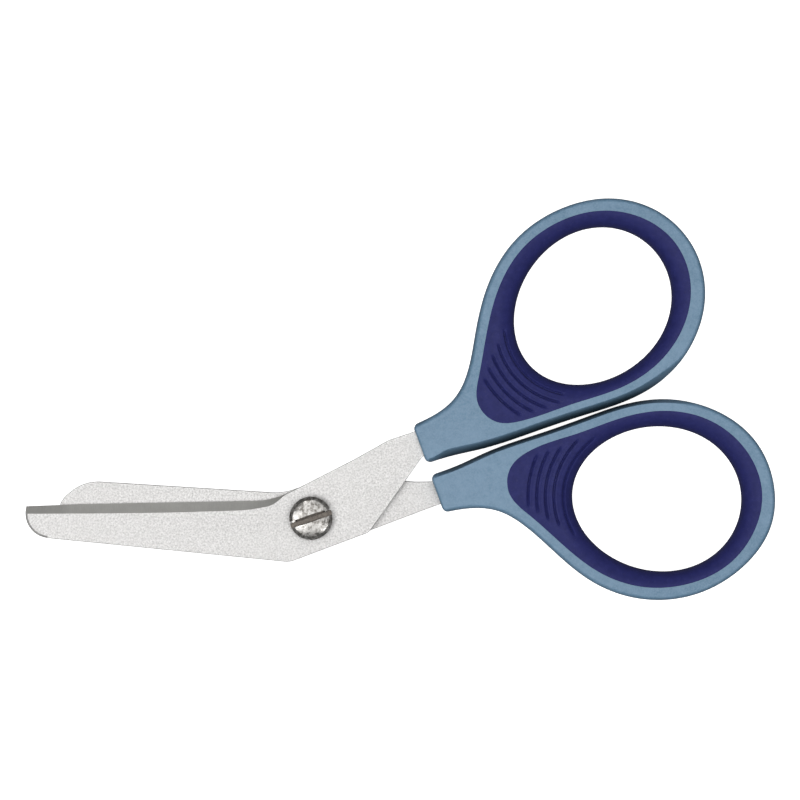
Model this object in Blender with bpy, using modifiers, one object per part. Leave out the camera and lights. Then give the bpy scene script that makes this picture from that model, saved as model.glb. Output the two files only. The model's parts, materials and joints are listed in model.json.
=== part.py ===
"""Bandage scissors, 127 mm long: two stamped steel blades on one slotted pivot screw. Each blade's
tang sits in a hard plastic ring handle, and each ring is lined with a soft grip. A Blender 4.5
script, in metres, +Z up.

The scissors lie closed, with the undersides of the handles and the end of the pivot screw at z = 0.
The origin is under the middle of the closed outline, +X runs from the blade tips to the rings, and
the pivot axis is +Z. The front half is the one on top at the pivot, with its ring on the +Y side. It
turns about the pivot, and the rear half stays still.

Flat outlines are in millimetres from the pivot, in one of two frames:
- the blade frame, whose axes are the world's;
- the handle frame (along, across), turned by CLOSING_ANGLE, so that its first axis is the closing
  line on which the handles meet. Both handles are drawn on its positive side, and the rear one is
  mirrored to the other.
"""

import math

import bmesh
import bpy
import numpy as np
from mathutils import Matrix, Vector

MM = 0.001

# Driving dimensions, in millimetres and radians.
PIVOT_X = -15.06
PIVOT_Y = -20.15
CLOSING_ANGLE = math.radians(20.1)
HANDLE_THICK = 8.0
MID_Z = HANDLE_THICK / 2
BLADE_THICK = 1.6
BLADE_GAP = 0.3
MOULD_GAP = 0.3
SEAT_GAP = 0.25
RUN_GAP = 0.25

# The cutting bevels, which leave a thin flat along the cutting edge.
BEVEL_WIDTH = 1.35
EDGE_FLAT = 0.1

# The tangs, from the handles' mouths to their ends inside, and the plastic pegs that key them.
MOUTH = 21.3
TANG_END = 31.5
TANG_CORNER = 1.0
PEG_PLACES = (24.8, 28.8)
PEG_RADIUS = 0.8

# The ring handles.
MOUTH_CORNER = 1.0
HANDLE_EDGE = 0.9
NECK_END = 29.6
NECK_SLOPE = math.radians(5.5)
NECK_REACH = 14.0
HOLE_LONG = 14.4
HOLE_WIDE = 12.3
HOLE_FULLNESS = 0.05
HOLE_TILT = math.radians(24.6)

# The soft grips, which wrap the rings' inner web on both faces and inside the hole.
WEB_THICK = 2.6
WEB_INSET = 1.6
GRIP_EDGE = 0.7

# The pivot.
SHOULDER_RADIUS = 2.4
SHANK_RADIUS = 2.0
SHANK_CHAMFER = 0.3
HEAD_RADIUS = 3.65
HEAD_RIM = 0.75
HEAD_RIM_DROP = 0.4
HEAD_CROWN = 0.25
SLOT_WIDTH = 1.15
SLOT_DEPTH = 0.8
SLOT_ANGLE = math.radians(18.7)
WASHER_RADIUS = 3.3
WASHER_THICK = 0.3
WASHER_DISH = 0.15
NUT_RADIUS = 3.3
NUT_CHAMFER = 0.4
SCREW_PROUD = 0.3

# Levels above the surface.
FRONT_BLADE_LOW = MID_Z + BLADE_GAP / 2
FRONT_BLADE_TOP = FRONT_BLADE_LOW + BLADE_THICK
REAR_BLADE_TOP = MID_Z - BLADE_GAP / 2
REAR_BLADE_LOW = REAR_BLADE_TOP - BLADE_THICK
WASHER_LOW = FRONT_BLADE_TOP + SEAT_GAP
WASHER_TOP = WASHER_LOW + WASHER_THICK + WASHER_DISH
HEAD_LOW = WASHER_TOP + SEAT_GAP
HEAD_TOP = HANDLE_THICK
NUT_TOP = REAR_BLADE_LOW - SEAT_GAP
NUT_LOW = SCREW_PROUD

# How finely curves are drawn, and how far a cutter reaches past what it cuts.
ROUND_STEPS = 48
PEG_STEPS = 16
CURVE_STEP = 2.0
ARC_STEP = 1.5
ARC_TURN = math.radians(14)
SHARP_ANGLE = math.radians(35)
PAST = 1.0
WELD = 1e-6

# Blade outlines: (x, y, corner radius) in the blade frame, clockwise from the tip. The tang's own
# sides are (nearer, further) from the closing line, in the handle frame.
FRONT_SIDE = [(-48.4, 2.05, 0), (-40.0, 2.4, 60), (-6.4, 3.1, 14), (7.5, 10.05, 20), (13.1, 13.2, 6)]
FRONT_FOOT = [(9.8, -2.3, 1), (-3.6, -7.3, 4), (-48.65, -2.85, 4.2)]
FRONT_EDGE = [(-48.4, 2.05), (-5.0, 3.15)]
FRONT_TANG = (3.3, 7.75)
REAR_SIDE = [(-42.75, 2.95, 4.2), (-38.6, 6.3, 7), (-5.0, 4.2, 9), (5.0, 7.4, 12), (17.6, 6.1, 4)]
REAR_FOOT = [(10.2, -2.1, 1), (-2.6, -6.6, 3), (-8.0, -3.2, 3), (-43.0, 0.7, 0.3)]
REAR_EDGE = [(-43.0, 0.7), (-9.0, -3.1)]
REAR_TANG = (1.25, 5.35)

# Handle outlines, open, from the mouth's near corner round the ring to its far corner.
FRONT_HANDLE = [
    (21.6, 1.95), (26.0, 1.7), (31.0, 1.05), (44.0, 0.6), (56.0, 0.2), (64.0, 1.5), (71.0, 5.8),
    (75.6, 12.4), (76.7, 19.7), (73.8, 27.6), (67.0, 33.1), (58.5, 34.7), (49.0, 32.5),
    (41.5, 26.5), (37.0, 19.9), (33.5, 14.2), (30.0, 10.8), (26.5, 9.4), (21.6, 8.8),
]
REAR_HANDLE = [
    (21.5, 0.2), (26.5, 0.2), (31.5, -0.25), (44.0, -0.1), (56.0, 0.1), (64.0, 2.0), (71.0, 6.8),
    (75.0, 13.1), (75.7, 20.6), (72.7, 28.0), (66.0, 32.8), (57.5, 34.5), (48.5, 32.4),
    (41.2, 26.7), (36.8, 19.6), (33.5, 13.6), (30.2, 9.8), (26.5, 7.9), (21.5, 6.9),
]
# Grip outlines, closed, from the pad's end along the closing line's side.
FRONT_GRIP = [
    (33.2, 8.6), (35.0, 4.6), (39.0, 3.25), (48.0, 2.95), (57.0, 2.75), (64.0, 4.4), (70.0, 8.5),
    (73.8, 14.8), (73.9, 22.4), (70.0, 28.5), (63.5, 32.1), (56.0, 32.6), (49.0, 30.4),
    (43.0, 25.4), (38.5, 18.9), (35.0, 12.9),
]
REAR_GRIP = [
    (32.95, 7.3), (34.6, 3.6), (38.5, 2.0), (47.0, 2.0), (56.0, 2.15), (63.0, 3.7), (69.0, 7.6),
    (73.0, 14.3), (73.1, 22.2), (69.5, 27.9), (63.5, 31.6), (56.0, 32.3), (49.0, 30.3),
    (43.0, 25.7), (38.5, 18.9), (35.0, 12.4),
]
FRONT_HOLE = (57.0, 17.2)
REAR_HOLE = (56.25, 17.1)

# Materials: name, colour, roughness, metallic.
STEEL = ("coated_steel", (0.72, 0.72, 0.70), 0.42, 0.9)
NICKEL = ("nickelled_steel", (0.50, 0.50, 0.48), 0.25, 1.0)
SHELL_PLASTIC = ("shell_plastic", (0.18, 0.28, 0.39), 0.45, 0.0)
GRIP_RUBBER = ("grip_rubber", (0.03, 0.035, 0.13), 0.7, 0.0)


# --- Flat outlines ---------------------------------------------------------------------------------


def spline(points, closed=False):
    """Points about CURVE_STEP apart along the natural cubic spline through `points`."""
    given = np.array(points, float)
    knots = np.vstack([given, given, given, given[:1]]) if closed else given
    lengths = np.linalg.norm(np.diff(knots, axis=0), axis=1)
    places = np.append(0, np.cumsum(lengths))
    slopes = np.diff(knots, axis=0) / lengths[:, None]
    system = np.eye(len(knots))
    pull = np.zeros_like(knots)
    for i in range(1, len(knots) - 1):
        system[i, i - 1 : i + 2] = lengths[i - 1], 2 * (lengths[i - 1] + lengths[i]), lengths[i]
        pull[i] = 6 * (slopes[i] - slopes[i - 1])
    bend = np.linalg.solve(system, pull)
    # A closed curve goes three times round, and its middle turn is the smooth one.
    start, end = (places[len(given)], places[2 * len(given)]) if closed else (0, places[-1])
    samples = np.linspace(start, end, round((end - start) / CURVE_STEP) + 1)
    span = np.clip(np.searchsorted(places, samples, side="right") - 1, 0, len(lengths) - 1)
    width = lengths[span][:, None]
    after = (samples - places[span])[:, None] / width
    before = 1 - after
    curve = before * knots[span] + after * knots[span + 1]
    curve += width**2 / 6 * ((before**3 - before) * bend[span] + (after**3 - after) * bend[span + 1])
    return curve[:-1] if closed else curve


def rounded(corners):
    """A closed outline through (x, y, radius) corners, with an arc at each that has a radius."""
    outline = []
    for i, (x, y, radius) in enumerate(corners):
        corner = Vector((x, y))
        if not radius:
            outline.append(corner)
            continue
        back = (Vector(corners[i - 1][:2]) - corner).normalized()
        ahead = (Vector(corners[(i + 1) % len(corners)][:2]) - corner).normalized()
        turn = math.pi - back.angle(ahead)
        centre = corner + (back + ahead).normalized() * radius / math.cos(turn / 2)
        first = corner + back * radius * math.tan(turn / 2) - centre
        steps = math.ceil(max(turn / ARC_TURN, turn * radius / ARC_STEP))
        signed_turn = math.copysign(turn, -back.cross(ahead))
        for step in range(steps + 1):
            outline.append(centre + Matrix.Rotation(signed_turn * step / steps, 2) @ first)
    return np.array(outline)


def circle(centre, radius, steps):
    turns = np.linspace(0, 2 * math.pi, steps, endpoint=False)
    return np.column_stack([centre[0] + radius * np.cos(turns), centre[1] + radius * np.sin(turns)])


def finger_hole(centre, side, grow=0.0):
    """A finger hole's outline, grown by `grow`: an ellipse that is fuller at its far end, and that
    leans away from the closing line on the given side of it."""
    turns = np.linspace(0, 2 * math.pi, ROUND_STEPS, endpoint=False)
    along = (HOLE_LONG + grow) * np.cos(turns)
    across = (HOLE_WIDE + grow) * np.sin(turns) * (1 + HOLE_FULLNESS * np.cos(turns))
    sine, cosine = side * math.sin(HOLE_TILT), math.cos(HOLE_TILT)
    return np.column_stack([
        centre[0] + along * cosine - across * sine,
        centre[1] + along * sine + across * cosine,
    ])


def grown(outline, distance):
    """A smooth closed outline moved outwards by `distance`."""
    following = np.roll(outline, -1, axis=0)
    tangents = following - np.roll(outline, 1, axis=0)
    normals = np.column_stack([tangents[:, 1], -tangents[:, 0]])
    normals /= np.linalg.norm(normals, axis=1)[:, None]
    turning = np.sum(outline[:, 0] * following[:, 1] - following[:, 0] * outline[:, 1])
    return outline + normals * distance * np.sign(turning)


def handle_outline(points):
    """A smooth curve round the ring, closed across the mouth with two rounded corners."""
    curve = spline(points)
    radii = [MOUTH_CORNER] + [0] * (len(curve) - 2) + [MOUTH_CORNER]
    return rounded([(x, y, radius) for (x, y), radius in zip(curve, radii)])


def in_blade_frame(along, across):
    """A point of the handle frame, in the blade frame."""
    sine, cosine = math.sin(CLOSING_ANGLE), math.cos(CLOSING_ANGLE)
    return along * cosine - across * sine, along * sine + across * cosine


# --- Solids ----------------------------------------------------------------------------------------


def collection(name):
    made = bpy.data.collections.new(name)
    bpy.context.scene.collection.children.link(made)
    return made


def plate(name, outlines, low, high, edge=0.0):
    """A flat solid between two levels, from an outer outline and its holes, with rounded edges. It is
    drawn as a curve, made a mesh, and its caps are welded on."""
    curve = bpy.data.curves.new(name, "CURVE")
    curve.dimensions = "2D"
    curve.fill_mode = "BOTH"
    curve.extrude = ((high - low) / 2 - edge) * MM
    curve.bevel_depth = edge * MM
    curve.bevel_resolution = 1
    curve.offset = -edge * MM
    for outline in outlines:
        line = curve.splines.new("POLY")
        line.points.add(len(outline) - 1)
        for point, (x, y) in zip(line.points, outline):
            point.co = (x * MM, y * MM, 0, 1)
        line.use_cyclic_u = True
    drawn = bpy.data.objects.new(name, curve)
    drawn.location.z = (low + high) / 2 * MM
    CUTTERS.objects.link(drawn)
    bpy.context.view_layer.update()
    mesh = bpy.data.meshes.new_from_object(drawn.evaluated_get(bpy.context.evaluated_depsgraph_get()))
    mesh.transform(drawn.matrix_world)
    work = bmesh.new()
    work.from_mesh(mesh)
    bmesh.ops.remove_doubles(work, verts=work.verts, dist=WELD)
    bmesh.ops.recalc_face_normals(work, faces=work.faces)
    work.to_mesh(mesh)
    work.free()
    bpy.data.curves.remove(curve)
    return bpy.data.objects.new(name, mesh)


def turned(name, profile):
    """A solid of revolution about the pivot axis. The profile is (radius, level) points that run down
    its outer side, and a profile that starts off the axis is a closed ring."""
    mesh = bpy.data.meshes.new(name)
    points = [(radius * MM, 0, level * MM) for radius, level in profile]
    edges = [(i - 1, i) for i in range(1, len(points))]
    if profile[0][0] > 0:
        edges.append((len(points) - 1, 0))
    mesh.from_pydata(points, edges, [])
    solid = bpy.data.objects.new(name, mesh)
    screw = solid.modifiers.new("turning", "SCREW")
    screw.steps = screw.render_steps = ROUND_STEPS
    screw.use_merge_vertices = True
    screw.merge_threshold = WELD
    return solid


def box(name, low, high):
    """A box between two corners, in millimetres."""
    mesh = bpy.data.meshes.new(name)
    work = bmesh.new()
    bmesh.ops.create_cube(work, size=1)
    work.to_mesh(mesh)
    work.free()
    size = Matrix.Diagonal((*(Vector(high) - Vector(low)), 1))
    middle = Matrix.Translation((Vector(low) + Vector(high)) / 2)
    mesh.transform(Matrix.Scale(MM, 4) @ middle @ size)
    return bpy.data.objects.new(name, mesh)


def slope(name, place, turn, tilt, reach):
    """A cutter whose underside is a plane through `place`. The plane's level line runs at `turn` from
    +X, over the two distances in `reach`, and the plane is tilted by `tilt` about it."""
    cutter = box(name, (reach[0], -NECK_REACH, 0), (reach[1], NECK_REACH, NECK_REACH))
    turning = Matrix.Rotation(turn, 4, "Z") @ Matrix.Rotation(tilt, 4, "X")
    cutter.matrix_world = Matrix.Translation(Vector(place) * MM) @ turning
    return cutter


def boolean(solid, operation, other):
    """Cuts `other` from the solid, or joins it on, and keeps it as a hidden helper."""
    modifier = solid.modifiers.new(other.name, "BOOLEAN")
    modifier.operation = operation
    modifier.object = other
    modifier.solver = "EXACT"
    CUTTERS.objects.link(other)
    other.hide_render = True
    other.display_type = "WIRE"
    other.parent = solid


def add_part(solid, half, spec, turn=0.0):
    """Hangs a finished solid on its half of the scissors, turned about the pivot, and paints it."""
    name, colour, roughness, metallic = spec
    paint = bpy.data.materials.get(name)
    if paint is None:
        paint = bpy.data.materials.new(name)
        paint.use_nodes = True
        shader = paint.node_tree.nodes["Principled BSDF"]
        shader.inputs["Base Color"].default_value = (*colour, 1)
        shader.inputs["Roughness"].default_value = roughness
        shader.inputs["Metallic"].default_value = metallic
    PARTS.objects.link(solid)
    solid.parent = half
    solid.rotation_euler.z = turn
    solid.data.materials.append(paint)
    solid.data.shade_smooth()
    solid.data.set_sharp_from_angle(angle=SHARP_ANGLE)


# --- Parts -----------------------------------------------------------------------------------------


class Half:
    """One half of the scissors: its empty on the pivot axis, and the dimensions its parts share."""

    def __init__(self, name, side, blade_low, tang, hole):
        self.name = name
        self.side = side
        self.blade_low = blade_low
        self.tang = tang
        self.hole = np.array(hole) * (1, side)
        self.empty = bpy.data.objects.new(f"{name}_half", None)
        self.empty.location = (PIVOT_X * MM, PIVOT_Y * MM, 0)
        PARTS.objects.link(self.empty)

    def own_side(self, outline):
        """A handle-frame outline, put on this half's side of the closing line."""
        return np.array(outline) * (1, self.side)

    def tang_outline(self, start, grow=0.0):
        """The tang's corners in the handle frame, clockwise, from the upper one at `start`."""
        near, far = self.tang
        end = TANG_END + grow
        near, far = near - grow, far + grow
        corners = self.own_side([(start, near), (end, near), (end, far), (start, far)])
        return corners[:: -self.side]

    def peg_centres(self):
        return [(place, self.side * sum(self.tang) / 2) for place in PEG_PLACES]


def blade(half, upper_side, foot, edge, hole_radius):
    """A blade with its bevel ground on its outer face: the front one's upper edge cuts, from above,
    and the rear one's lower edge, from below."""
    name = f"{half.name}_blade"
    tang = [(*in_blade_frame(*corner), TANG_CORNER) for corner in half.tang_outline(MOUTH)]
    holes = [circle((0, 0), hole_radius, ROUND_STEPS)]
    for centre in half.peg_centres():
        holes.append(circle(in_blade_frame(*centre), PEG_RADIUS + MOULD_GAP, PEG_STEPS))
    top = half.blade_low + BLADE_THICK
    solid = plate(name, [rounded(upper_side + tang + foot), *holes], half.blade_low, top)
    start, end = Vector(edge[0]), Vector(edge[1])
    run = end - start
    steepness = math.atan2(BLADE_THICK - EDGE_FLAT, BEVEL_WIDTH)
    level, tilt = half.blade_low + EDGE_FLAT, -steepness
    if half.side < 0:
        level, tilt = top - EDGE_FLAT, math.pi - steepness
    reach = (-2 * PAST, run.length)
    grinder = slope(f"{name}_bevel", (*start, level), math.atan2(run.y, run.x), tilt, reach)
    boolean(solid, "DIFFERENCE", grinder)
    add_part(solid, half.empty, STEEL)


def handle(half, outline, grip_outline):
    """A hard ring handle: its neck thins towards the mouth and holds the tang in a socket, on two
    pegs, and its ring is pocketed on both faces, down to a web."""
    name = f"{half.name}_handle"
    ring = [half.own_side(handle_outline(outline)), finger_hole(half.hole, half.side, WEB_INSET)]
    solid = plate(name, ring, 0, HANDLE_THICK, HANDLE_EDGE)
    socket = [half.tang_outline(MOUTH - 2 * PAST, MOULD_GAP)]
    socket += [circle(centre, PEG_RADIUS, PEG_STEPS) for centre in half.peg_centres()]
    socket_low = half.blade_low - MOULD_GAP
    socket_top = half.blade_low + BLADE_THICK + MOULD_GAP
    pocket = [half.own_side(spline(grip_outline, closed=True))]
    web_low, web_top = MID_Z - WEB_THICK / 2, MID_Z + WEB_THICK / 2
    across, reach = math.pi / 2, (-NECK_REACH, NECK_REACH)
    for cutter in (
        slope(f"{name}_neck_top", (NECK_END, 0, HANDLE_THICK), across, -NECK_SLOPE, reach),
        slope(f"{name}_neck_foot", (NECK_END, 0, 0), across, math.pi + NECK_SLOPE, reach),
        plate(f"{name}_socket", socket, socket_low, socket_top),
        plate(f"{name}_lower_pocket", pocket, -PAST, web_low),
        plate(f"{name}_upper_pocket", pocket, web_top, HANDLE_THICK + PAST),
    ):
        boolean(solid, "DIFFERENCE", cutter)
    add_part(solid, half.empty, SHELL_PLASTIC, CLOSING_ANGLE)


def grip(half, outline):
    """The soft grip that lines a ring: it fills both pockets, and wraps the web inside the hole."""
    name = f"{half.name}_grip"
    outer = half.own_side(grown(spline(outline, closed=True), -MOULD_GAP))
    solid = plate(name, [outer, finger_hole(half.hole, half.side)], 0, HANDLE_THICK, GRIP_EDGE)
    groove = [grown(outer, 2 * PAST), finger_hole(half.hole, half.side, WEB_INSET - MOULD_GAP)]
    reach = WEB_THICK / 2 + MOULD_GAP
    boolean(solid, "DIFFERENCE", plate(f"{name}_groove", groove, MID_Z - reach, MID_Z + reach))
    add_part(solid, half.empty, GRIP_RUBBER, CLOSING_ANGLE)


def pivot_screw(half):
    """The slotted pivot screw: a crowned head with a chamfered rim, a shoulder that the front blade
    turns on, and a shank that passes through the rear blade and the nut."""
    crown = HEAD_RADIUS - HEAD_RIM
    profile = [(crown * k / 4, HEAD_TOP - HEAD_CROWN * (k / 4) ** 2) for k in range(5)]
    profile += [
        (HEAD_RADIUS, HEAD_TOP - HEAD_CROWN - HEAD_RIM_DROP), (HEAD_RADIUS, HEAD_LOW),
        (SHOULDER_RADIUS, HEAD_LOW), (SHOULDER_RADIUS, MID_Z), (SHANK_RADIUS, MID_Z),
        (SHANK_RADIUS, SHANK_CHAMFER), (SHANK_RADIUS - SHANK_CHAMFER, 0), (0, 0),
    ]
    solid = turned("pivot_screw", profile)
    reach, width = HEAD_RADIUS + PAST, SLOT_WIDTH / 2
    slot = box("screw_slot", (-reach, -width, HEAD_TOP - SLOT_DEPTH), (reach, width, HEAD_TOP + PAST))
    slot.rotation_euler.z = SLOT_ANGLE
    boolean(solid, "DIFFERENCE", slot)
    add_part(solid, half.empty, NICKEL)


def tension_washer(half):
    """A dished spring washer between the screw's head and the front blade."""
    inner = SHOULDER_RADIUS + RUN_GAP
    profile = [
        (inner, WASHER_TOP), (WASHER_RADIUS, WASHER_TOP - WASHER_DISH),
        (WASHER_RADIUS, WASHER_LOW), (inner, WASHER_LOW + WASHER_DISH),
    ]
    add_part(turned("tension_washer", profile), half.empty, NICKEL)


def pivot_nut(half):
    """The low round nut that the screw is fastened into, behind the rear blade."""
    inner = SHANK_RADIUS + RUN_GAP
    profile = [
        (inner, NUT_TOP), (NUT_RADIUS, NUT_TOP), (NUT_RADIUS, NUT_LOW + NUT_CHAMFER),
        (NUT_RADIUS - NUT_CHAMFER, NUT_LOW), (inner, NUT_LOW),
    ]
    add_part(turned("pivot_nut", profile), half.empty, NICKEL)


for old in list(bpy.data.objects):
    bpy.data.objects.remove(old)
PARTS = collection("bandage_scissors")
CUTTERS = collection("cutters")

front = Half("front", 1, FRONT_BLADE_LOW, FRONT_TANG, FRONT_HOLE)
blade(front, FRONT_SIDE, FRONT_FOOT, FRONT_EDGE, SHOULDER_RADIUS + RUN_GAP)
handle(front, FRONT_HANDLE, FRONT_GRIP)
grip(front, FRONT_GRIP)

rear = Half("rear", -1, REAR_BLADE_LOW, REAR_TANG, REAR_HOLE)
blade(rear, REAR_SIDE, REAR_FOOT, REAR_EDGE, SHANK_RADIUS + RUN_GAP)
handle(rear, REAR_HANDLE, REAR_GRIP)
grip(rear, REAR_GRIP)
pivot_screw(rear)
tension_washer(rear)
pivot_nut(rear)
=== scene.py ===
"""The looks of the bandage scissors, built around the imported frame: finely shaped blades, handles,
grips and pivot pieces with their finishes, on a pale floor in soft studio light.

Every piece replaces one CAD node and rides on its body. Meshes are drawn in millimetres from the
pivot, in one of two flat frames, and then put into the row frame, in metres:
- the blade frame, whose axes are the row frame's;
- the handle frame (along, across), turned by CLOSING_ANGLE, so that its first axis is the closing
  line on which the handles meet. Both handles are drawn on its positive side, and the rear one is
  mirrored to the other.
Levels are heights above the floor, and come from the CAD nodes.
"""

import json
import math

import bmesh
import bpy
import numpy as np
from mathutils import Matrix, Vector


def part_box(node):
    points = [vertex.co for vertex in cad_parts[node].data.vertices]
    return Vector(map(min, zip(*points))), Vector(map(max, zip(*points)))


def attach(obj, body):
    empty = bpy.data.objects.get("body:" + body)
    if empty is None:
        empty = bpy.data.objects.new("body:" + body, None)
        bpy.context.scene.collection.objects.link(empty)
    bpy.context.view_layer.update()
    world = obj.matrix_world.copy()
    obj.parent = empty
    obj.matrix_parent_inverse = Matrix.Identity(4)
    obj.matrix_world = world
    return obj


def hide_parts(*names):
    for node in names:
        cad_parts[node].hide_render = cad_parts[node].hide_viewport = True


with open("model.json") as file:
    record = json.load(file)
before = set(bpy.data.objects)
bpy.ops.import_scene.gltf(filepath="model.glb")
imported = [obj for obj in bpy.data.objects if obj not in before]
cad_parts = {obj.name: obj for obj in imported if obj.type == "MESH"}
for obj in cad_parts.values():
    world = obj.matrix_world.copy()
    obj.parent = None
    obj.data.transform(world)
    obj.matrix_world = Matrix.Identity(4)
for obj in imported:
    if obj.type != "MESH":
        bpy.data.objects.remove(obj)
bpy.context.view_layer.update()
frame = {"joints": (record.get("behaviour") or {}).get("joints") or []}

MM = 0.001
PIVOT = frame["joints"][0]["pos_m"]


def level_of(node, corner):
    """A CAD node's lowest (0) or highest (1) level, in millimetres."""
    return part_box(node)[corner].z / MM


CLOSING_ANGLE = math.radians(20.1)
HANDLE_TOP = level_of("front_handle", 1)
MID_LEVEL = HANDLE_TOP / 2
FRONT_BLADE = (level_of("front_blade", 0), level_of("front_blade", 1))
REAR_BLADE = (level_of("rear_blade", 0), level_of("rear_blade", 1))
WASHER = (level_of("tension_washer", 0), level_of("tension_washer", 1))
NUT = (level_of("pivot_nut", 0), level_of("pivot_nut", 1))
SCREW = (level_of("pivot_screw", 0), level_of("pivot_screw", 1))

# --- Outlines, in millimetres ----------------------------------------------------------------------

# Blade outlines: (x, y, corner radius) in the blade frame, clockwise from the tip.
FRONT_SIDE = [(-48.4, 2.0, 0), (-40.0, 2.3, 60), (-6.4, 2.95, 14), (7.5, 10.05, 20), (13.1, 13.2, 6)]
FRONT_FOOT = [(9.8, -2.45, 1), (-3.6, -7.5, 4), (-48.65, -3.02, 4.2)]
FRONT_RIDGE = [
    (-49.6, 0.72), (-40.0, 0.76), (-30.0, 0.84), (-20.0, 1.04), (-15.0, 1.2), (-10.0, 1.5),
    (-8.5, 1.75), (-6.9, 2.1), (-6.0, 2.6), (-5.0, 3.4), (-4.1, 4.15), (-3.0, 5.2),
]
FRONT_EDGE = [(-48.4, 2.0), (7.5, 10.05)]
FRONT_TANG = (3.3, 7.75)
REAR_SIDE = [(-42.75, 2.95, 4.2), (-38.6, 6.3, 7), (-5.0, 4.2, 9), (5.0, 7.4, 12), (17.6, 6.1, 4)]
REAR_FOOT = [(10.2, -2.1, 1), (-2.6, -6.6, 3), (-8.0, -3.2, 3), (-43.0, 0.7, 0.3)]
REAR_RIDGE = [
    (-44.0, 2.1), (-30.0, 0.53), (-20.0, -0.6), (-13.0, -1.4), (-10.0, -2.0), (-8.0, -2.95),
    (-6.3, -4.2), (-5.0, -5.4), (-4.0, -6.6),
]
REAR_EDGE = [(-2.6, -6.6), (-43.0, 0.7)]
REAR_TANG = (1.25, 5.35)

# Handle outlines in the handle frame, open, from the mouth's near corner round to its far one.
FRONT_HANDLE = [
    (21.6, 1.95), (26.0, 1.7), (31.0, 1.08), (42.0, 0.68), (50.0, 0.43), (56.0, 0.25), (64.0, 1.5),
    (71.0, 5.8), (75.6, 12.4), (76.7, 19.7), (73.8, 27.6), (67.0, 33.1), (58.5, 34.7), (49.0, 32.5),
    (41.5, 26.5), (37.0, 19.9), (33.5, 14.2), (30.0, 10.8), (26.5, 9.4), (21.6, 8.8),
]
REAR_HANDLE = [
    (21.5, 0.2), (26.5, 0.2), (31.5, -0.2), (42.0, -0.08), (50.0, 0.0), (56.0, 0.15), (64.0, 2.0),
    (71.0, 6.8), (75.0, 13.1), (75.7, 20.6), (72.7, 28.0), (66.0, 32.8), (57.5, 34.5), (48.5, 32.4),
    (41.2, 26.7), (36.8, 19.6), (33.5, 13.6), (30.2, 9.8), (26.5, 7.9), (21.5, 6.9),
]
FRONT_GRIP = [
    (33.2, 8.6), (35.0, 4.6), (39.0, 3.25), (48.0, 2.95), (57.0, 2.75), (64.0, 4.4), (70.0, 8.5),
    (73.8, 14.8), (73.9, 22.4), (70.0, 28.5), (63.5, 32.1), (56.0, 32.6), (49.0, 30.4),
    (43.0, 25.4), (38.5, 18.9), (35.0, 12.9),
]
REAR_GRIP = [
    (32.95, 7.3), (34.6, 3.6), (38.5, 2.0), (47.0, 2.0), (56.0, 2.15), (63.0, 3.7), (69.0, 7.6),
    (73.0, 14.3), (73.1, 22.2), (69.5, 27.9), (63.5, 31.6), (56.0, 32.3), (49.0, 30.3),
    (43.0, 25.7), (38.5, 18.9), (35.0, 12.4),
]
FRONT_HOLE = (57.0, 17.2)
REAR_HOLE = (56.25, 17.1)

# How far the steep sides along the closing line reach in from the outline.
FRONT_INNER_EDGE = 1.3
REAR_INNER_EDGE = 0.6

# The finger holes: half axes, fullness at the far end, and lean.
HOLE_LONG = 14.4
HOLE_WIDE = 12.3
HOLE_FULLNESS = 0.05
HOLE_TILT = math.radians(24.6)

# Ribs on the pads: (distance from the hole, first and last angle round it from the pad's own
# middle, in degrees), from the hole outwards.
FRONT_RIBS = [(1.8, -34, 31), (3.3, -26, 29), (4.75, -21, 23), (6.2, -16, 17.5), (7.7, -12.5, 13)]
REAR_RIBS = [(1.65, -32, 44), (3.25, -22, 35), (4.7, -17, 26), (6.15, -12.5, 21), (7.6, -9, 17)]

# Mouths, tangs and the plastic pegs that key them.
MOUTH = 21.3
TANG_END = 31.5
TANG_CORNER = 1.0
MOUTH_CORNER = 1.0
PEG_PLACES = (24.8, 28.8)
PEG_RADIUS = 0.8
FIT = 0.04
# The outline's own points give way to a mouth corner's arc within this many of its radii.
CORNER_REACH = 1.1

# Shell sections: how far an arris reaches in from the outline, and down from the top.
OUTER_EDGE = (0.7, 1.15)
INNER_EDGE_DROP = 3.7
MOUTH_EDGE = (0.4, 0.7)
CORNER_EDGE = (0.7, 1.8)
# The mouth's arris and its corners' sections blend into the rest over these distances from it.
MOUTH_BLEND = 0.9
CORNER_CLEAR = 1.0
CORNER_BLEND = 3.2
# A side turns steep where its normal faces the closing line: from this cosine, fully after
# STEEP_BLEND more, and only up to the ring's far end.
STEEP_LEAN = 0.8
STEEP_BLEND = 0.18
STEEP_END = 72
# (inset, drop) shares that pull the steep side's curve, from its foot up to the flat top.
STEEP_PULLS = [(0, 1), (0.3, 0.6), (0.85, 0.03), (1, 0)]
NECK_END = 29.6
NECK_SLOPE = math.radians(5.5)
NECK_BLEND = 1.2
WEB_THICK = 2.6
WEB_INSET = 1.6
POCKET_LIP = 0.3
SEAM_HEIGHT = 0.035
SEAM_WIDTH = 0.12
SEAM_SHOULDER = 0.6

# Grip sections: how far the roll into the hole reaches in and down, and at most which share of the
# grip's width it takes; the small rounding at the border; and the pad's ribs and shallow dish.
GRIP_ROUND = (3.0, 3.2)
WIDEST_ROUND = 0.96
GRIP_BORDER = 0.03
BORDER_SHARES = (0, 0.3, 0.65)
GRIP_GAP = 0.004
RIB_WIDTH = 0.58
RIB_DEPTH = 0.42
RIB_SWELL = 0.07
SWELL_OFFSET = 0.75
RIB_FADE = 0.9
PAD_DISH = 0.08
DISH_START = 0.3
DISH_BLEND = 1.5

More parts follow.
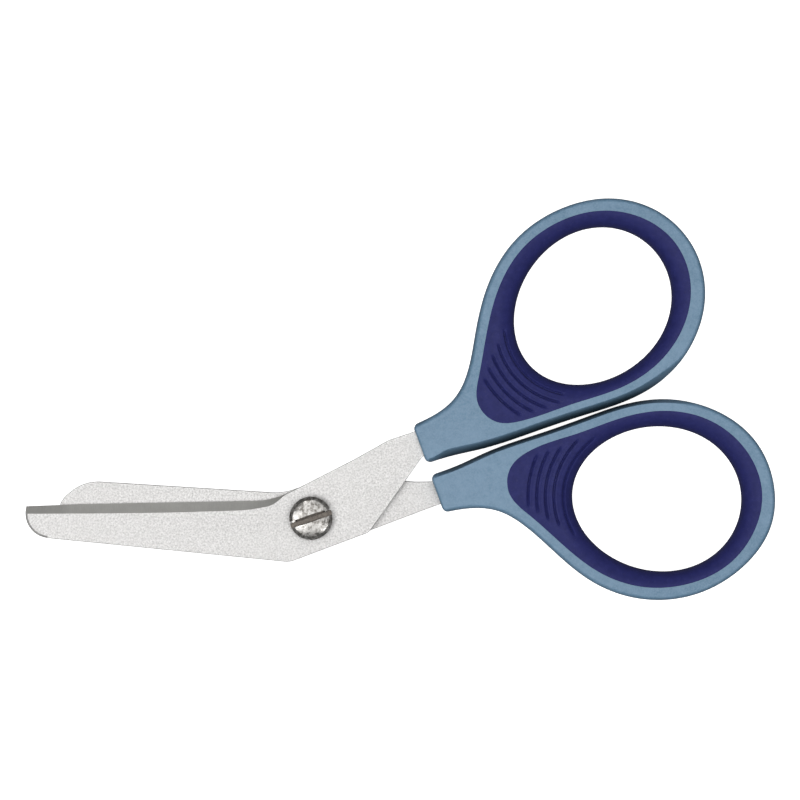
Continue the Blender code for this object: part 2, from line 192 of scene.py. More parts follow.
# Blades. The grinder is the block that takes off what is above a bevel.
BLADE_EDGE = 0.17
CUTTING_FLAT = 0.1
STEEPEST_BEVEL = 1.3
GRINDER_BACK = 1.0
GRINDER_OVERRUN = 1.5
GRINDER_HEIGHT = 3.0
TIP_START = -44.0
TIP_BLEND = 1.5
TIP_TOP = 1.2
TIP_ROLL = 0.4
FOOT_ROLL = 0.34
FOOT_END = -4.6
ROLL_SLOPE = 1.1

# Pivot pieces: radii, drops from the top of the screw's head, and chamfers. The front blade and the
# washer sit round the screw's shoulder, and the rear blade and the nut round its shank.
SHOULDER_BORE = 2.65
SHANK_BORE = 2.25
DISC_RADIUS = 3.3
HEAD_RADIUS = 3.65
HEAD_RIM_DROP = 0.74
HEAD_GAP = 0.25
CROWN_RADIUS = 3.1
CROWN_DROP = 0.42
CROWN_STEPS = 8
SHOULDER_RADIUS = 2.4
SHANK_RADIUS = 2.0
SHANK_END_RADIUS = 1.7
SHANK_TAPER = 0.3
WASHER_DISH = 0.15
NUT_CHAMFER = 0.4
BORE_CHAMFER = 0.15
SLOT_ANGLE = math.radians(18.7)
SLOT_WIDTH = 1.15
SLOT_DEPTH = 0.8
SLOT_RIM_DROP = 0.2
SLOT_FLARE = (0.45, 1.45)
CHANNEL_WIDTH = 0.3
CHANNEL_SLOPE = 0.06
CHANNEL_DEPTH = 0.55

# How finely things are drawn, and how far a cutter reaches past what it cuts.
OUTLINE_STEP = 0.45
GUIDE_STEP = 0.15
RIDGE_STEP = 0.3
LATHE_ARC_STEP = 0.08
PAD_SPACING = 0.3
EXTRA_RING_SPACING = 0.4
PAD_END = 46
PAD_BLEND = 6
ARC_TURN = math.radians(7)
HOLE_STEPS = 720
LATHE_STEPS = 128
PEG_STEPS = 32
ARRIS_STEPS = 16
TOP_STEPS = 12
PAD_STEPS = 80
ROLL_STEPS = 36
WELD = 1e-6
CUT_OVERRUN = 1.0
SHARP_ANGLE = math.radians(32)

# Studio: the floor's brightness, its radius and drop in metres, and the lens's length.
FLOOR_GLOW = 0.9
FLOOR_RADIUS = 4.0
FLOOR_DROP = 0.00002
LENS = 200


# --- Flat outlines ---------------------------------------------------------------------------------


def spline(points, step, closed=False):
    """Points about `step` apart along the natural cubic spline through `points`."""
    given = np.array(points, float)
    knots = np.vstack([given, given, given, given[:1]]) if closed else given
    lengths = np.linalg.norm(np.diff(knots, axis=0), axis=1)
    places = np.append(0, np.cumsum(lengths))
    slopes = np.diff(knots, axis=0) / lengths[:, None]
    system = np.eye(len(knots))
    pull = np.zeros_like(knots)
    for i in range(1, len(knots) - 1):
        system[i, i - 1 : i + 2] = lengths[i - 1], 2 * (lengths[i - 1] + lengths[i]), lengths[i]
        pull[i] = 6 * (slopes[i] - slopes[i - 1])
    bend = np.linalg.solve(system, pull)
    # A closed curve goes three times round, and its middle turn is the smooth one.
    start, end = (places[len(given)], places[2 * len(given)]) if closed else (0, places[-1])
    samples = np.linspace(start, end, round((end - start) / step) + 1)
    span = np.clip(np.searchsorted(places, samples, side="right") - 1, 0, len(lengths) - 1)
    width = lengths[span][:, None]
    after = (samples - places[span])[:, None] / width
    before = 1 - after
    curve = before * knots[span] + after * knots[span + 1]
    curve += width**2 / 6 * ((before**3 - before) * bend[span] + (after**3 - after) * bend[span + 1])
    return curve[:-1] if closed else curve


def rounded(corners, step=OUTLINE_STEP):
    """A closed outline through (x, y, radius) corners, with an arc at each that has a radius."""
    outline = []
    for i, (x, y, radius) in enumerate(corners):
        corner = Vector((x, y))
        if not radius:
            outline.append(corner)
            continue
        back = (Vector(corners[i - 1][:2]) - corner).normalized()
        ahead = (Vector(corners[(i + 1) % len(corners)][:2]) - corner).normalized()
        turn = math.pi - back.angle(ahead)
        centre = corner + (back + ahead).normalized() * radius / math.cos(turn / 2)
        first = corner + back * radius * math.tan(turn / 2) - centre
        steps = math.ceil(max(turn / ARC_TURN, turn * radius / step))
        signed_turn = math.copysign(turn, -back.cross(ahead))
        for k in range(steps + 1):
            outline.append(centre + Matrix.Rotation(signed_turn * k / steps, 2) @ first)
    return np.array(outline)


def circle(centre, radius, steps):
    turns = np.linspace(0, 2 * math.pi, steps, endpoint=False)
    return np.column_stack([centre[0] + radius * np.cos(turns), centre[1] + radius * np.sin(turns)])


def finger_hole(centre, side, grow=0.0):
    """A finger hole's outline, grown by `grow`."""
    turns = np.linspace(0, 2 * math.pi, HOLE_STEPS, endpoint=False)
    along = (HOLE_LONG + grow) * np.cos(turns)
    across = (HOLE_WIDE + grow) * np.sin(turns) * (1 + HOLE_FULLNESS * np.cos(turns))
    sine, cosine = side * math.sin(HOLE_TILT), math.cos(HOLE_TILT)
    return np.column_stack([
        centre[0] + along * cosine - across * sine,
        centre[1] + along * sine + across * cosine,
    ])


def outward(outline):
    """Unit normals that point out of a smooth closed outline."""
    following = np.roll(outline, -1, axis=0)
    tangents = following - np.roll(outline, 1, axis=0)
    normals = np.column_stack([tangents[:, 1], -tangents[:, 0]])
    normals /= np.linalg.norm(normals, axis=1)[:, None]
    turning = np.sum(outline[:, 0] * following[:, 1] - following[:, 0] * outline[:, 1])
    return normals * np.sign(turning)


def foot_on(outline, points):
    """The nearest place on a closed outline to each point."""
    starts = outline[None]
    runs = np.roll(outline, -1, axis=0)[None] - starts
    share = np.sum((points[:, None] - starts) * runs, axis=2) / np.sum(runs**2, axis=2)
    feet = starts + np.clip(share, 0, 1)[:, :, None] * runs
    best = np.argmin(np.sum((feet - points[:, None]) ** 2, axis=2), axis=1)
    return feet[np.arange(len(points)), best]


def spaced(outline, spacing):
    """Points along a closed outline, `spacing(point)` apart."""
    ends = np.roll(outline, -1, axis=0)
    density = np.linalg.norm(ends - outline, axis=1) / spacing(outline)
    places = np.append(0, np.cumsum(density))
    wanted = np.linspace(0, places[-1], round(places[-1]), endpoint=False)
    loop = np.vstack([outline, outline[:1]])
    return np.column_stack([np.interp(wanted, places, loop[:, axis]) for axis in (0, 1)])


def handle_outline(points):
    """A smooth curve round the ring, closed across the mouth with two rounded corners."""
    curve = spline(points, OUTLINE_STEP)
    mouth = [(x, y, MOUTH_CORNER) for x, y in (curve[-1], curve[0])]
    corners = [(*curve[-2], 0), *mouth, (*curve[1], 0)]
    turned_corners = rounded(corners, OUTLINE_STEP / 2)[1:-1]
    far, near = np.split(turned_corners, [len(turned_corners) // 2])
    to_near, to_far = (np.linalg.norm(curve - end, axis=1) for end in (curve[0], curve[-1]))
    clear = curve[np.minimum(to_near, to_far) > MOUTH_CORNER * CORNER_REACH]
    return np.vstack([near, clear, far, mouth_line(far[-1], near[0])])


def mouth_line(start, end):
    """Points between two corners of the mouth, without its ends."""
    steps = round(float(np.linalg.norm(end - start)) / OUTLINE_STEP)
    share = np.linspace(0, 1, steps + 1)[1:-1, None]
    return start + (end - start) * share


def smooth_step(value):
    value = np.clip(value, 0, 1)
    return value * value * (3 - 2 * value)


def neck_top(along):
    """The handles' top level: flat over the rings, and sloping down to the mouth."""
    over = (NECK_END - along) / NECK_BLEND
    return HANDLE_TOP - math.tan(NECK_SLOPE) * NECK_BLEND * np.logaddexp(0, over)


def rounding(steps):
    """(inset, drop) shares of a quarter ellipse, from its foot up to its flat top."""
    turns = np.linspace(0, math.pi / 2, steps + 1)
    return np.column_stack([1 - np.cos(turns), 1 - np.sin(turns)])


def drafted(steps):
    """(inset, drop) shares of a full, steep side that turns quickly into the flat top."""
    share = np.linspace(0, 1, steps + 1)[:, None]
    rest = 1 - share
    weights = np.hstack([rest**3, 3 * rest**2 * share, 3 * rest * share**2, share**3])
    return weights @ np.array(STEEP_PULLS)


# --- Meshes ----------------------------------------------------------------------------------------


def placed(points, turn):
    """Row-frame points, in metres, from (along, across, level) ones in a flat frame."""
    turning = np.array(Matrix.Rotation(turn, 3, "Z"))
    moved = np.array(points) @ turning.T * MM
    return moved + (PIVOT[0], PIVOT[1], 0)


def new_object(name, mesh):
    made = bpy.data.objects.new(name, mesh)
    bpy.context.scene.collection.objects.link(made)
    return made


def skin(name, rows, turn):
    """A closed surface over rows of points. Each row is a loop, and the last row meets the first."""
    grid = np.array(rows)
    row_count, column_count = grid.shape[:2]
    mesh = bpy.data.meshes.new(name)
    index = np.arange(row_count * column_count).reshape(row_count, column_count)
    above = np.roll(index, -1, axis=0)
    faces = np.stack([index, np.roll(index, -1, 1), np.roll(above, -1, 1), above], axis=2)
    points = placed(grid, turn).reshape(-1, 3)
    mesh.from_pydata(points.tolist(), [], faces.reshape(-1, 4).tolist())
    face_outwards(mesh)
    return new_object(name, mesh)


def face_outwards(mesh):
    work = bmesh.new()
    work.from_mesh(mesh)
    bmesh.ops.remove_doubles(work, verts=work.verts, dist=WELD)
    bmesh.ops.recalc_face_normals(work, faces=work.faces)
    work.to_mesh(mesh)
    work.free()


def evaluated_mesh(made):
    """The object's mesh with its modifiers applied."""
    bpy.context.view_layer.update()
    return bpy.data.meshes.new_from_object(made.evaluated_get(bpy.context.evaluated_depsgraph_get()))


def plate(name, outlines, low, high, edge=0.0, turn=0.0):
    """A flat solid between two levels, from an outer outline and its holes, with rounded edges."""
    curve = bpy.data.curves.new(name, "CURVE")
    curve.dimensions = "2D"
    curve.fill_mode = "BOTH"
    curve.extrude = (high - low) / 2 - edge
    curve.bevel_depth = edge
    curve.bevel_resolution = 3
    curve.offset = -edge
    for outline in outlines:
        line = curve.splines.new("POLY")
        line.points.add(len(outline) - 1)
        for point, (x, y) in zip(line.points, outline):
            point.co = (x, y, 0, 1)
        line.use_cyclic_u = True
    drawn = new_object(name, curve)
    mesh = evaluated_mesh(drawn)
    bpy.data.objects.remove(drawn)
    bpy.data.curves.remove(curve)
    points = np.array([v.co for v in mesh.vertices]) + (0, 0, (low + high) / 2)
    mesh.vertices.foreach_set("co", placed(points, turn).ravel())
    face_outwards(mesh)
    return new_object(name, mesh)


def turned(name, profile):
    """A solid of revolution about the pivot axis, from (radius, level) points down its outer side. A
    profile that starts off the axis is a closed ring."""
    mesh = bpy.data.meshes.new(name)
    points = [(radius * MM, 0, level * MM) for radius, level in profile]
    edges = [(i - 1, i) for i in range(1, len(points))]
    if profile[0][0] > WELD:
        edges.append((len(points) - 1, 0))
    mesh.from_pydata(points, edges, [])
    drawn = new_object(name, mesh)
    screw = drawn.modifiers.new("turning", "SCREW")
    screw.steps = screw.render_steps = LATHE_STEPS
    screw.use_merge_vertices = True
    screw.merge_threshold = WELD
    mesh = evaluated_mesh(drawn)
    bpy.data.objects.remove(drawn)
    mesh.transform(Matrix.Translation((PIVOT[0], PIVOT[1], 0)))
    face_outwards(mesh)
    return new_object(name, mesh)


def prism(name, sections):
    """A closed solid through matching loops of points, in metres."""
    rings = np.array(sections)
    ring_count, size = rings.shape[:2]
    mesh = bpy.data.meshes.new(name)
    faces = []
    for i in range(ring_count - 1):
        for k in range(size):
            after = (k + 1) % size
            faces.append([i * size + k, i * size + after, (i + 1) * size + after, (i + 1) * size + k])
    faces.append(list(range(size)))
    faces.append(list(range((ring_count - 1) * size, ring_count * size)))
    mesh.from_pydata(rings.reshape(-1, 3).tolist(), [], faces)
    face_outwards(mesh)
    return new_object(name, mesh)


def cut(piece, cutter):
    """Cuts `cutter` from the piece, whose new faces take the cutter's material."""
    modifier = piece.modifiers.new("cut", "BOOLEAN")
    modifier.operation = "DIFFERENCE"
    modifier.object = cutter
    modifier.solver = "EXACT"
    modifier.material_mode = "TRANSFER"
    mesh = evaluated_mesh(piece)
    piece.modifiers.clear()
    piece.data = mesh
    bpy.data.objects.remove(cutter)


def is_level(polygon):
    return abs(polygon.normal.z) > 0.9999


def smooth(piece, flat_caps=False):
    """Shades the piece smoothly up to its hard edges. Level faces can stay exactly flat."""
    mesh = piece.data
    mesh.shade_smooth()
    if flat_caps:
        for polygon in mesh.polygons:
            polygon.use_smooth = not is_level(polygon)
    mesh.set_sharp_from_angle(angle=SHARP_ANGLE)


def finish_piece(piece, body):
    """Puts a piece on its body, in place of the CAD node whose name it carries."""
    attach(piece, body)
    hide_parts(piece.name.removesuffix("_look"))


# --- Finishes --------------------------------------------------------------------------------------


class Finish:
    """A procedural material: one principled shader and the texture nodes that feed it."""

    def __init__(self, name, **values):
        self.material = bpy.data.materials.new(name)
        self.material.use_nodes = True
        self.tree = self.material.node_tree
        self.shader = self.tree.nodes["Principled BSDF"]
        for socket, value in values.items():
            self.shader.inputs[socket.replace("_", " ")].default_value = value
        self.place = self.add("ShaderNodeTexCoord").outputs["Object"]

    def add(self, kind, **settings):
        node = self.tree.nodes.new(kind)
        for setting, value in settings.items():
            setattr(node, setting, value)
        return node

    def feed(self, socket, value):
        """Links a socket to another, or sets its value."""
        if isinstance(value, bpy.types.NodeSocket):
            self.tree.links.new(value, socket)
        else:
            socket.default_value = value

    def stretched(self, scale, turn=0.0):
        """The piece's coordinates, scaled along each axis after a turn about the vertical."""
        node = self.add("ShaderNodeMapping")
        self.feed(node.inputs["Vector"], self.place)
        node.inputs["Rotation"].default_value = (0, 0, turn)
        node.inputs["Scale"].default_value = scale
        return node.outputs["Vector"]

    def noise(self, size, detail=2.0, rough=0.5, place=None):
        """Noise between 0 and 1 whose features are about `size` millimetres."""
        node = self.add("ShaderNodeTexNoise")
        self.feed(node.inputs["Vector"], place or self.place)
        node.inputs["Scale"].default_value = 1 / (size * MM) if place is None else 1 / size
        node.inputs["Detail"].default_value = detail
        node.inputs["Roughness"].default_value = rough
        return node.outputs["Fac"]

    def ranged(self, value, low, high, start=0.3, end=0.7):
        """`value` from `start` to `end`, mapped to `low` to `high`."""
        node = self.add("ShaderNodeMapRange")
        self.feed(node.inputs["Value"], value)
        for socket, number in zip(("From Min", "From Max", "To Min", "To Max"), (start, end, low, high)):
            node.inputs[socket].default_value = number
        return node.outputs["Result"]

    def sum(self, first, second, share=1.0):
        """`first` plus `share` times `second`."""
        node = self.add("ShaderNodeMath", operation="MULTIPLY_ADD")
        self.feed(node.inputs[0], second)
        self.feed(node.inputs[1], share)
        self.feed(node.inputs[2], first)
        return node.outputs["Value"]

    def mix(self, factor, first, second):
        """A colour between two others."""
        node = self.add("ShaderNodeMix", data_type="RGBA")
        self.feed(node.inputs["Factor"], factor)
        for name, colour in (("A", first), ("B", second)):
            socket = next(s for s in node.inputs if s.name == name and s.type == "RGBA")
            self.feed(socket, colour if isinstance(colour, bpy.types.NodeSocket) else (*colour, 1))
        return next(s for s in node.outputs if s.type == "RGBA")

    def openness(self, reach):
        """1 on open surfaces, down to 0 in crevices narrower than `reach` millimetres."""
        node = self.add("ShaderNodeAmbientOcclusion")
        node.inputs["Distance"].default_value = reach * MM
        return node.outputs["AO"]

    def colour(self, value):
        self.feed(self.shader.inputs["Base Color"], value)

    def roughness(self, value):
        self.feed(self.shader.inputs["Roughness"], value)

    def bump(self, *layers):
        """Stacks (height, strength, depth in millimetres) layers on the surface normal."""
        normal = None
        for height, strength, depth in layers:
            node = self.add("ShaderNodeBump")
            node.inputs["Strength"].default_value = strength
            node.inputs["Distance"].default_value = depth * MM
            self.feed(node.inputs["Height"], height)
            if normal:
                self.feed(node.inputs["Normal"], normal)
            normal = node.outputs["Normal"]
        self.feed(self.shader.inputs["Normal"], normal)


def coated_steel():
    """The blades' pearly sprayed coating: a fine bright speckle over pale grey."""
    finish = Finish("coated_steel", Metallic=0.35, Specular_IOR_Level=0.5)
    speckle = finish.noise(0.3, 3.0, 0.65)
    blotch = finish.noise(7.0, 2.0)
    grains = finish.mix(finish.ranged(speckle, 0, 1, 0.32, 0.68), (0.375, 0.369, 0.361), (0.81, 0.802, 0.794))
    finish.colour(finish.mix(finish.ranged(blotch, 0, 0.25), grains, (0.60, 0.593, 0.583)))
    finish.roughness(finish.ranged(speckle, 0.5, 0.7))
    finish.bump((speckle, 0.25, 0.012), (blotch, 0.1, 0.05))
    return finish.material


def edge_steel():
    """The blades' tumbled arrises and stamped sides, where the coating is thin and grey."""
    finish = Finish("edge_steel", Metallic=0.5)
    streaks = finish.noise(1.0, 3.0, 0.6, finish.stretched((1500, 1500, 400)))
    rub = finish.noise(0.5, 3.0)
    finish.colour(finish.mix(finish.ranged(rub, 0, 1), (0.50, 0.497, 0.485), (0.70, 0.695, 0.68)))
    finish.roughness(finish.ranged(streaks, 0.25, 0.4))
    finish.bump((streaks, 0.15, 0.01))
    return finish.material


def ground_steel():
    """The bare ground bevels: fine parallel scratches across the cutting edge."""
    finish = Finish("ground_steel", Metallic=0.55)
    scratches = finish.noise(1.0, 4.0, 0.7, finish.stretched((9000, 900, 900)))
    bands = finish.noise(2.5, 2.0)
    tone = finish.ranged(finish.sum(scratches, bands, 0.5), 0, 1, 0.5, 1.0)
    finish.colour(finish.mix(tone, (0.50, 0.496, 0.472), (0.63, 0.625, 0.598)))
    finish.roughness(finish.ranged(scratches, 0.3, 0.5))
    finish.bump((scratches, 0.3, 0.01))
    return finish.material


def shell_plastic():
    """The rings' hard plastic: blue-grey, faintly mottled, with a fine spark-eroded grain, and painted shade
    in its crevices.
    """
    finish = Finish("shell_plastic", Specular_IOR_Level=0.4)
    grain = finish.noise(0.3, 3.0, 0.65)
    mottle = finish.noise(1.3, 3.0, 0.65)
    cloud = finish.noise(14.0, 2.0)
    tone = finish.ranged(finish.sum(mottle, cloud, 0.8), 0, 1, 0.7, 1.1)
    base = finish.mix(tone, (0.084, 0.172, 0.262), (0.128, 0.226, 0.330))
    worn = finish.mix(finish.ranged(grain, 0, 0.75, 0.4, 0.72), base, (0.175, 0.265, 0.365))
    # Painted shade: the colour darkens to near black where ambient occlusion finds a narrow crevice, as along
    # the closing line between the handles.
    grime_and_painted_shade = finish.ranged(finish.openness(5.0), 0.9, 0, 0.2, 0.75)
    finish.colour(finish.mix(grime_and_painted_shade, worn, (0.01, 0.024, 0.036)))
    finish.roughness(finish.ranged(grain, 0.40, 0.56))
    finish.bump((grain, 0.3, 0.015), (mottle, 0.08, 0.05))
    return finish.material


def grip_rubber():
    """The soft grips: deep violet-blue rubber, matt, with a fine sandy texture."""
    finish = Finish("grip_rubber", Specular_IOR_Level=0.2)
    finish.shader.inputs["Sheen Weight"].default_value = 0.03
    finish.shader.inputs["Sheen Roughness"].default_value = 0.5
    sand = finish.noise(0.16, 3.0, 0.6)
    mottle = finish.noise(1.1, 3.0, 0.6)
    dust = finish.noise(0.45, 1.0)
    base = finish.mix(finish.ranged(mottle, 0, 1), (0.0112, 0.0138, 0.090), (0.0162, 0.0192, 0.114))
    finish.colour(finish.mix(finish.ranged(dust, 0, 0.12, 0.6, 0.75), base, (0.06, 0.06, 0.16)))
    finish.roughness(finish.ranged(sand, 0.52, 0.72))
    finish.bump((sand, 0.35, 0.015), (mottle, 0.1, 0.04))
    return finish.material


def nickelled_steel():
    """The turned pivot pieces: bright nickel with fine pits, rubbed patches and dark stains."""
    finish = Finish("nickelled_steel", Metallic=1.0)
    rub = finish.noise(1.0, 3.0, 0.6)
    pits = finish.noise(0.15, 2.0)
    stain = finish.ranged(finish.noise(0.7, 3.0, 0.6), 0, 0.8, 0.46, 0.66)
    base = finish.mix(finish.ranged(rub, 0, 1), (0.20, 0.194, 0.185), (0.44, 0.43, 0.415))
    finish.colour(finish.mix(stain, base, (0.045, 0.038, 0.03)))
    finish.roughness(finish.ranged(rub, 0.18, 0.38))
    finish.bump((pits, 0.15, 0.02), (rub, 0.6, 0.08))
    return finish.material


def slot_steel():
    """The screw slot's milled walls: dull, browned with old oil, and darker still as painted shade in the
    recess.
    """
    finish = Finish("slot_steel", Metallic=0.6)
    grime_and_painted_shade = finish.noise(0.5, 4.0, 0.7)
    # Partly real oil stain, partly painted shade: the slot's colour runs from brown-grey down to near black,
    # far darker than the head's nickel.
    finish.colour(finish.mix(finish.ranged(grime_and_painted_shade, 0, 1), (0.02, 0.015, 0.012), (0.21, 0.185, 0.16)))
    finish.roughness(finish.ranged(grime_and_painted_shade, 0.4, 0.7))
    finish.bump((grime_and_painted_shade, 0.3, 0.03))
    return finish.material


def matt_floor():
    """Pale studio paper with a barely visible tooth, which glows as on a light table."""
    finish = Finish("matt_floor", Specular_IOR_Level=0.2, Emission_Strength=FLOOR_GLOW)
    finish.shader.inputs["Emission Color"].default_value = (1, 1, 1, 1)
    tooth = finish.noise(0.6, 2.0)
    finish.colour(finish.mix(finish.ranged(tooth, 0, 1), (0.86, 0.86, 0.86), (0.88, 0.88, 0.88)))
    finish.roughness(finish.ranged(tooth, 0.8, 0.95))
    finish.bump((tooth, 0.05, 0.02))
    return finish.material


# --- Pieces ----------------------------------------------------------------------------------------


class Half:
    """One half of the scissors: its side of the closing line, its blade's levels, its tang, its
    finger hole, and how far its handle's steep side reaches in."""

    def __init__(self, name, side, levels, tang, hole, inner_edge):
        self.name = name
        self.body = f"{name}_half"
        self.side = side
        self.low, self.top = levels
        self.tang = tang
        self.hole = np.array(hole) * (1, side)
        self.inner_edge = inner_edge

    def own_side(self, outline):
        """A handle-frame outline, put on this half's side of the closing line."""
        return np.array(outline) * (1, self.side)

    def tang_outline(self, start, grow=0.0):
        """The tang's corners in the handle frame, clockwise, from the upper one at `start`."""
        near, far = self.tang
        end = TANG_END + grow
        near, far = near - grow, far + grow
        corners = self.own_side([(start, near), (end, near), (end, far), (start, far)])
        return corners[:: -self.side]

    def peg_centres(self):
        return [(place, self.side * sum(self.tang) / 2) for place in PEG_PLACES]


def in_blade_frame(along, across):
    """A point of the handle frame, in the blade frame."""
    sine, cosine = math.sin(CLOSING_ANGLE), math.cos(CLOSING_ANGLE)
    return along * cosine - across * sine, along * sine + across * cosine


def grind(piece, half, strokes, steepest, material):
    """Grinds the blade's outer face: takes off what is above a slope that falls from each stroke's
    ridge point, (x, y), towards its edge, which is a width away in a direction. The slope leaves a
    thin flat at the edge, or is `steepest` where the width is small."""
    face = half.top if half.side > 0 else half.low
    depth = half.top - half.low - CUTTING_FLAT
    sections = []
    for ridge, direction, width in strokes:
        steepness = min(depth / width, steepest) if width > 0 else steepest
        inner, outer = -GRINDER_BACK, max(width, 0) + GRINDER_OVERRUN
        bottom = [(inner, -inner * steepness), (outer, -outer * steepness)]
        loop = bottom + [(outer, GRINDER_HEIGHT), (inner, GRINDER_HEIGHT)]
        sections.append([(*(ridge + direction * out), face + half.side * up) for out, up in loop])
    cutter = prism("grinder", placed(np.array(sections), 0.0))
    cutter.data.materials.append(material)
    cut(piece, cutter)


def bevel_strokes(half, edge, ridge_points):
    """Strokes across the cutting edge, which run out where the ridge line meets the outline."""
    edge = edge[np.argsort(edge[:, 0])]
    direction = np.array((0, half.side))
    for x, y in spline(ridge_points, RIDGE_STEP):
        width = half.side * (np.interp(x, edge[:, 0], edge[:, 1]) - y)
        yield np.array((x, y)), direction, width


def roll_strokes(outline):
    """Strokes along the blunt foot and round the tip, whose arris is rolled over further."""
    normals = outward(outline)
    for point, normal in zip(outline, normals):
        if point[0] < FOOT_END and point[1] < TIP_TOP:
            past_start = smooth_step((TIP_START - point[0]) / TIP_BLEND)
            width = FOOT_ROLL + (TIP_ROLL - FOOT_ROLL) * past_start
            yield point - normal * width, normal, width


def blade(half, upper_side, foot, ridge, edge_ends, hole_radius):
    """A stamped blade with rounded arrises and its cutting bevel ground on the outer face."""
    tang = [(*in_blade_frame(*corner), TANG_CORNER) for corner in half.tang_outline(MOUTH)]
    holes = [circle((0, 0), hole_radius, LATHE_STEPS)]
    for centre in half.peg_centres():
        holes.append(circle(in_blade_frame(*centre), PEG_RADIUS + FIT, PEG_STEPS))
    outline = rounded(upper_side + tang + foot)
    name = f"{half.name}_blade_look"
    piece = plate(name, [outline, *holes], half.low, half.top, BLADE_EDGE)
    piece.data.materials.append(COAT)
    piece.data.materials.append(EDGE)
    for polygon in piece.data.polygons:
        polygon.material_index = 0 if is_level(polygon) else 1
    first, last = (np.argmin(np.linalg.norm(outline - end, axis=1)) for end in edge_ends)
    # Only the front blade's foot lies outermost, where its arris is rolled over.
    if half.side > 0:
        grind(piece, half, roll_strokes(outline), ROLL_SLOPE, EDGE)
    strokes = bevel_strokes(half, outline[first : last + 1], ridge)
    grind(piece, half, strokes, STEEPEST_BEVEL, GROUND)
    smooth(piece, flat_caps=True)
    finish_piece(piece, half.body)


def mirrored(rows):
    """Rows of the upper half, from and to the middle level, closed round with their mirror images."""
    below = []
    for row in rows[-2:0:-1]:
        below.append(np.column_stack([row[:, :2], HANDLE_TOP - row[:, 2]]))
    return rows + below


def at_level(flat, level):
    return np.column_stack([flat, np.broadcast_to(level, len(flat))])


def arris_section(half, outer):
    """The shell's section at each outline point: the way in to its crest, its arris's drop, and how
    much of it is the steep side that faces the closing line."""
    out = outward(outer)
    beyond = outer[:, 0] - outer[:, 0].min()
    facing = smooth_step((-half.side * out[:, 1] - STEEP_LEAN) / STEEP_BLEND)
    facing *= outer[:, 0] < STEEP_END
    past_corner = smooth_step((beyond - CORNER_CLEAR) / CORNER_BLEND)
    full_inset = OUTER_EDGE[0] + (half.inner_edge - OUTER_EDGE[0]) * facing
    full_drop = OUTER_EDGE[1] + (INNER_EDGE_DROP - OUTER_EDGE[1]) * facing
    corner_inset = np.minimum(CORNER_EDGE[0], full_inset)
    across = corner_inset + (full_inset - corner_inset) * past_corner
    along = MOUTH_EDGE[0] + (full_inset - MOUTH_EDGE[0]) * past_corner
    side_drop = CORNER_EDGE[1] + (full_drop - CORNER_EDGE[1]) * past_corner
    edge_down = MOUTH_EDGE[1] + (side_drop - MOUTH_EDGE[1]) * smooth_step(beyond / MOUTH_BLEND)
    return -out * np.column_stack([along, across]), edge_down, facing


def handle(half, outline, grip_outline):
    """A hard ring handle: rounded outer arrises with a fine mould seam, pockets for the soft grip in
    both faces, and a socket for the tang."""
    outer = half.own_side(handle_outline(outline))
    out = outward(outer)
    inward, edge_down, facing = arris_section(half, outer)
    border = foot_on(half.own_side(spline(grip_outline, GUIDE_STEP, closed=True)), outer)
    hole = foot_on(finger_hole(half.hole, half.side, WEB_INSET), border)
    web_top = MID_LEVEL + WEB_THICK / 2

    def over(flat, drop):
        return at_level(flat, neck_top(flat[:, 0]) - drop)

    rows = [
        at_level(outer + out * SEAM_HEIGHT, MID_LEVEL),
        at_level(outer + out * SEAM_HEIGHT * SEAM_SHOULDER, MID_LEVEL + SEAM_WIDTH / 2),
        at_level(outer, MID_LEVEL + SEAM_WIDTH),
    ]
    for round_share, draft_share in zip(rounding(ARRIS_STEPS), drafted(ARRIS_STEPS)):
        shares = round_share + (draft_share - round_share) * facing[:, None]
        rows.append(over(outer + inward * shares[:, :1], edge_down * shares[:, 1]))
    crest = outer + inward
    for share in np.linspace(0, 1, TOP_STEPS + 1)[1:]:
        rows.append(over(crest + (border - crest) * share, 0))
    rows.append(at_level(border, HANDLE_TOP - POCKET_LIP))
    rows.append(at_level(border, web_top))
    rows.append(at_level((border + hole) / 2, web_top))
    rows.append(at_level(hole, web_top))
    rows.append(at_level(hole, MID_LEVEL))
    piece = skin(f"{half.name}_handle_look", mirrored(rows), CLOSING_ANGLE)
    piece.data.materials.append(SHELL)

    socket = [half.tang_outline(MOUTH - 2 * CUT_OVERRUN, FIT)]
    socket += [circle(centre, PEG_RADIUS, PEG_STEPS) for centre in half.peg_centres()]
    cutter = plate("socket", socket, half.low - FIT, half.top + FIT, turn=CLOSING_ANGLE)
    cutter.data.materials.append(SHELL)
    cut(piece, cutter)
    smooth(piece)
    finish_piece(piece, half.body)


def hump(offset, width):
    """A smooth hump: 1 in its middle, and 0 from half its width away."""
    return 0.5 + 0.5 * np.cos(np.clip(offset / width, -0.5, 0.5) * 2 * math.pi)


def rib_relief(distance, angle, arc, ribs):
    """How far the pad's surface is above its smooth level: grooves, each with a low swell on its
    inner side, that fade out at their ends."""
    relief = np.zeros(len(distance))
    for place, first, last in ribs:
        to_end = np.minimum(angle - math.radians(first), math.radians(last) - angle) * arc
        strength = smooth_step(to_end / RIB_FADE)
        groove = hump(distance - place, RIB_WIDTH)
        swell = hump(distance - (place - SWELL_OFFSET * RIB_WIDTH), RIB_WIDTH)
        relief += strength * (RIB_SWELL * swell - RIB_DEPTH * groove)
    return relief


def pad_angle(half, feet):
    """The angle round the finger hole of points on its edge, from the pad's own middle."""
    local = (feet - half.hole) * (1, half.side)
    sine, cosine = math.sin(HOLE_TILT), math.cos(HOLE_TILT)
    along = local[:, 0] * cosine + local[:, 1] * sine
    across = local[:, 1] * cosine - local[:, 0] * sine
    turn = np.arctan2(across / HOLE_WIDE, along / HOLE_LONG)
    return np.mod(turn, 2 * math.pi) - math.pi


def grip_spacing(points):
    """How far apart a grip's border points are: finer over the ribbed pad than round the ring."""
    return PAD_SPACING + EXTRA_RING_SPACING * smooth_step((points[:, 0] - PAD_END) / PAD_BLEND)


